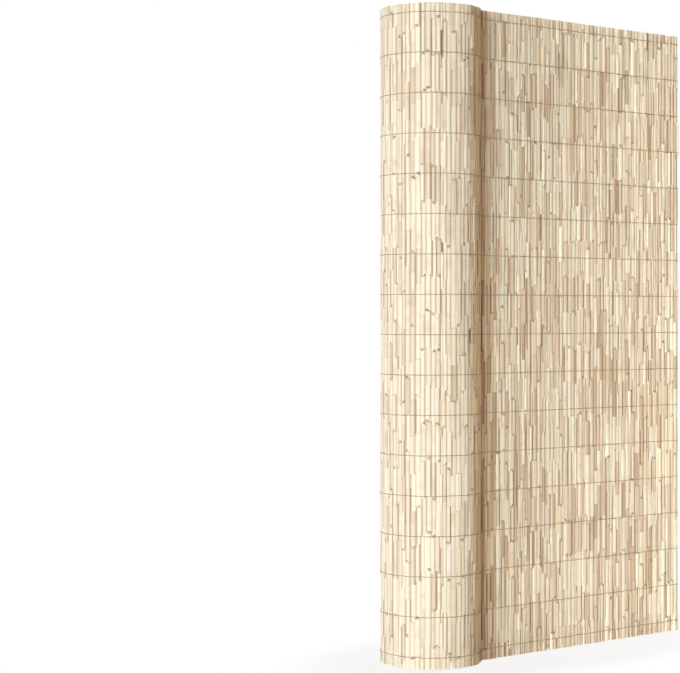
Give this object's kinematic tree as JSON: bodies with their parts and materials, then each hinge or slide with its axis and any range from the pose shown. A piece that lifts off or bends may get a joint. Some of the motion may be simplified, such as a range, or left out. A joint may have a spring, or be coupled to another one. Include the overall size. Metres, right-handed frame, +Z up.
{
  "type": "reed screen",
  "caption": "Upright reed screen, bound with rows of thin wire and partly unrolled: a flat sheet of peeled reeds leaving a standing roll.",
  "frame": {"origin": "middle of the whole screen's footprint, on the ground under the reed ends", "axes": "+Z up along the reeds, +X along the flat sheet from the roll to the free end, -Y out of the sheet's front face"},
  "size_m": [0.903, 0.234, 1.5],
  "materials": {
    "reed": "dry peeled reed, pale straw with tan seams, satin",
    "wire": "dull galvanised binding wire"
  },
  "bodies": {
    "root": {"reed_mat": "reed", "binding_wire_01": "wire", "binding_wire_02": "wire", "binding_wire_03": "wire", "binding_wire_04": "wire", "binding_wire_05": "wire", "binding_wire_06": "wire", "binding_wire_07": "wire", "binding_wire_08": "wire", "binding_wire_09": "wire", "binding_wire_10": "wire", "binding_wire_11": "wire", "binding_wire_12": "wire", "binding_wire_13": "wire", "binding_wire_14": "wire", "binding_wire_15": "wire", "binding_wire_16": "wire", "binding_wire_17": "wire"}
  },
  "joints": []
}
